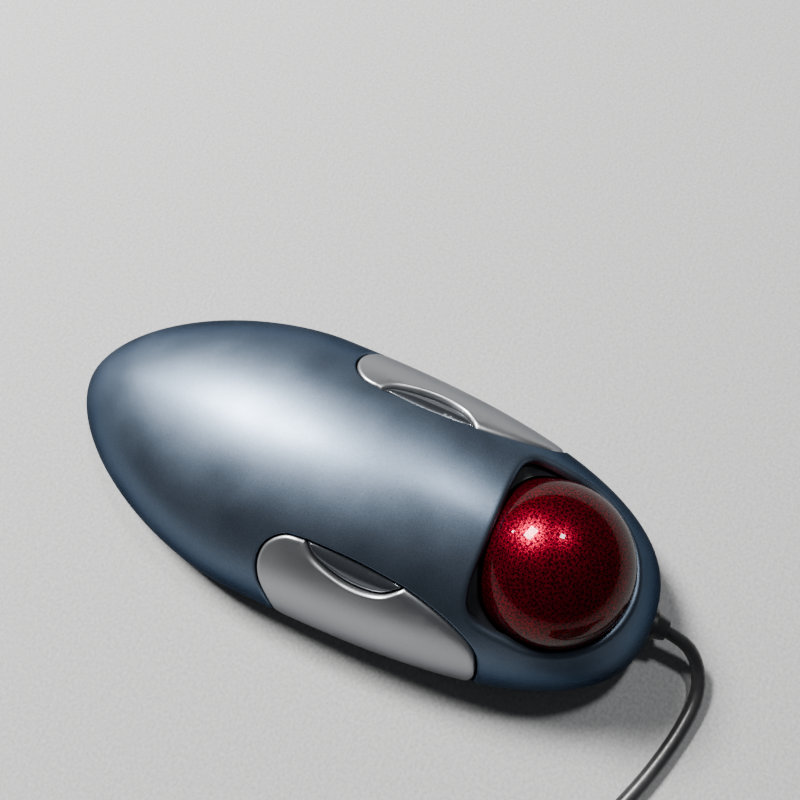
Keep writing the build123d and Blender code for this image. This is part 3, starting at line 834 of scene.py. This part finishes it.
def ball_mesh():
    """Sphere whose faces are split between small round dots and the red between them."""
    draw = np.random.default_rng(7)
    index = np.arange(DOT_COUNT) + 0.5
    z = 1 - 2 * index / DOT_COUNT
    turn = math.pi * (1 + 5 ** 0.5) * index
    centres = np.column_stack([np.sqrt(1 - z * z) * np.cos(turn), np.sqrt(1 - z * z) * np.sin(turn), z])
    centres += draw.normal(0, 0.0062, centres.shape)
    centres /= np.linalg.norm(centres, axis=1)[:, None]
    side = np.cross(centres, draw.normal(size=centres.shape))
    side /= np.linalg.norm(side, axis=1)[:, None]
    other = np.cross(centres, side)
    sizes = DOT_R / BALL_R * draw.uniform(0.82, 1.12, DOT_COUNT)
    rings = []
    for k in range(DOT_SIDES):
        a = 2 * math.pi * k / DOT_SIDES
        rings.append(centres + (side * math.cos(a) + other * math.sin(a)) * sizes[:, None])
    points = np.vstack([centres, *rings])
    points /= np.linalg.norm(points, axis=1)[:, None]
    flat = points[:, :2] / (1 + 1e-9 + points[:, 2:])        # from the lowest point, which stays open
    made = delaunay_2d_cdt([Vector(p) for p in flat], [], [], 0, 0.0)
    mesh = bmesh.new()
    verts = [mesh.verts.new(Vector(BALL + BALL_R * p) * MM) for p in points]
    for face in made[2]:
        faces = mesh.faces.new([verts[made[3][i][0]] for i in face])
        faces.material_index = int(any(made[3][i][0] < DOT_COUNT for i in face))
    bmesh.ops.holes_fill(mesh, edges=[e for e in mesh.edges if e.is_boundary], sides=0)
    bmesh.ops.recalc_face_normals(mesh, faces=mesh.faces[:])
    return mesh


def ball_material(name, base, flake, flake_strength):
    m = Nodes(name, Coat_Weight=0.35, Coat_Roughness=0.03, Coat_IOR=1.4, IOR=1.3, Metallic=0.9,
              Specular_Tint=colour(0.03, 0.0, 0.004))
    cells = m.cells(0.16)
    bright = m.spread(cells.outputs["Distance"], 1.0, 0.0, 0.0, 0.45)
    flakes = m.spread(m.noise(0.35, detail=1.0), 0.0, flake_strength, 0.42, 0.62)
    m.feed("Base Color", m.mix(flakes, base, flake))
    m.feed("Roughness", m.spread(bright, 0.34, 0.22))
    facets = m.add("ShaderNodeNormalMap", {"Color": cells.outputs["Color"], "Strength": 0.35}, space="OBJECT")
    tilt = m.add("ShaderNodeMix", data_type="VECTOR")
    geometry = m.add("ShaderNodeNewGeometry")
    sockets = [s for s in tilt.inputs if s.enabled]
    sockets[0].default_value = 0.10
    m.tree.links.new(geometry.outputs["Normal"], sockets[1])
    m.tree.links.new(facets.outputs["Normal"], sockets[2])
    m.feed("Normal", [s for s in tilt.outputs if s.enabled][0])
    return m.material


MATERIALS["ball_red"] = ball_material("ball_red", colour(0.036, 0.0, 0.003), colour(0.20, 0.0, 0.012), 1.0)
MATERIALS["ball_dots"] = ball_material("ball_dots", colour(0.016, 0.0, 0.002), colour(0.028, 0.0, 0.003), 0.5)
ball = finished(ball_mesh(), "trackball", "ball_outer_body", ["ball_red", "ball_dots"], sharp=180.0)
ball.data.normals_split_custom_set_from_vertices(
    [((v.co / MM - Vector(BALL)).normalized()) for v in ball.data.vertices])
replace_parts(ball, "ball_core", "ball_dot_layer", "ball_clear_coat")


# ---- socket -----------------------------------------------------------------------------
BOWL_R, BOWL_OUT_R = 20.6, 23.2
BOWL_LOW = 75                    # degrees below the ball's middle, where the bowl is open


def make_socket():
    """Black bowl round the ball: a ledge under the cover's rim, the bowl and its outside."""
    angles = np.linspace(0, 2 * math.pi, 180, endpoint=False)
    unit = np.column_stack([np.cos(angles), np.sin(angles)])
    rim = opening_reach(angles)

    def under_cover(reach, depth):
        plan = BALL[:2] + unit * reach[:, None]
        steep = form_frame(to_flat(plan))[2][:, 2]
        return height(plan[:, 0], plan[:, 1]) - np.minimum(depth / np.maximum(steep, 0.2), 5.0)

    def bowl_at(z, radius):
        return np.sqrt(np.maximum(radius ** 2 - (z - BALL[2]) ** 2, 1.0))

    inner = rim.copy()
    for _ in range(6):
        ledge_z = under_cover(np.maximum(rim, inner), 2.4)
        inner = bowl_at(ledge_z, BOWL_R) + 0.3
    ledge = np.maximum(rim, inner)
    outside = ledge + 1.6
    outside_z = under_cover(outside, 2.15)
    rings = [(outside, outside_z), (ledge + 0.1, ledge_z), (inner, ledge_z), (inner - 0.22, ledge_z - 0.12)]
    top_dip = np.arcsin(np.clip((BALL[2] - ledge_z + 0.35) / BOWL_R, -1, 1))
    for share in np.linspace(0, 1, 18):
        dip = top_dip + (math.radians(BOWL_LOW) - top_dip) * share
        rings.append((BOWL_R * np.cos(dip), BALL[2] - BOWL_R * np.sin(dip)))
    low_dip = np.arcsin(np.clip((BALL[2] - outside_z + 2.6) / BOWL_OUT_R, -1, 1))
    for share in np.linspace(1, 0, 14):
        dip = low_dip + (math.radians(BOWL_LOW) - low_dip) * share
        rings.append((BOWL_OUT_R * np.cos(dip), BALL[2] - BOWL_OUT_R * np.sin(dip)))
    rings.append((outside, outside_z - 1.4))
    mesh = bmesh.new()
    join_rings(mesh, [np.column_stack([BALL[:2] + unit * r[:, None], z]) for r, z in rings], True)
    return finished(mesh, "socket_bowl", "case", ["socket_black"])


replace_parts(make_socket(), "ball_socket")


# ---- everything that keeps its CAD shape --------------------------------------------------
def dress_cad_nodes():
    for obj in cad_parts.values():
        slots = [m.name.split(".")[0] if m else "" for m in obj.data.materials] or [""]
        for i, slot in enumerate(slots):
            material = MATERIALS.get(slot, MATERIALS["base_black"])
            if i < len(obj.data.materials):
                obj.data.materials[i] = material
            else:
                obj.data.materials.append(material)


dress_cad_nodes()
cord.data.materials.append(MATERIALS["cable_black"])


# ---- floor and light ----------------------------------------------------------------------
FLOOR_HALF = 3.0                 # metres
FLOOR_COLOURS = colour(0.28, 0.28, 0.285), colour(0.38, 0.38, 0.38)


def make_floor():
    mesh = bmesh.new()
    bmesh.ops.create_grid(mesh, x_segments=2, y_segments=2, size=FLOOR_HALF)
    data = bpy.data.meshes.new("floor")
    mesh.to_mesh(data)
    mesh.free()
    m = Nodes("floor", Roughness=0.9)
    fine = m.noise(0.9, detail=4.0)
    m.feed("Base Color", m.mix(m.spread(fine, 0.0, 1.0, 0.3, 0.7), *FLOOR_COLOURS))
    m.bump(fine, 0.15, 0.4)
    data.materials.append(m.material)
    floor = bpy.data.objects.new("floor", data)
    bpy.context.scene.collection.objects.link(floor)


def area_light(name, azimuth, elevation, distance, width, depth, power, tint=(1, 1, 1)):
    """Rectangular light of a size in metres and a power in watts that faces the body."""
    data = bpy.data.lights.new(name, "AREA")
    data.shape, data.size, data.size_y = "RECTANGLE", width, depth
    data.energy, data.color = power, tint
    light = bpy.data.objects.new(name, data)
    bpy.context.scene.collection.objects.link(light)
    back = direction(azimuth, elevation)
    light.location = Vector((0, 0.01, 0.03)) + distance * back
    light.rotation_euler = back.to_track_quat("Z", "Y").to_euler()


def make_light():
    area_light("key_light", 338, 46, 1.1, 0.30, 0.22, 48.0, (1.0, 0.99, 0.97))
    area_light("star_light", 349, 23, 1.1, 0.05, 0.05, 2.0)
    area_light("lamp", 271, 64, 1.0, 0.10, 0.10, 5.0)
    world = bpy.data.worlds.new("world")
    world.use_nodes = True
    background = world.node_tree.nodes["Background"]
    background.inputs["Color"].default_value = (0.80, 0.86, 0.95, 1.0)
    background.inputs["Strength"].default_value = 0.08
    bpy.context.scene.world = world


make_floor()
make_light()

bpy.context.view_layer.update()
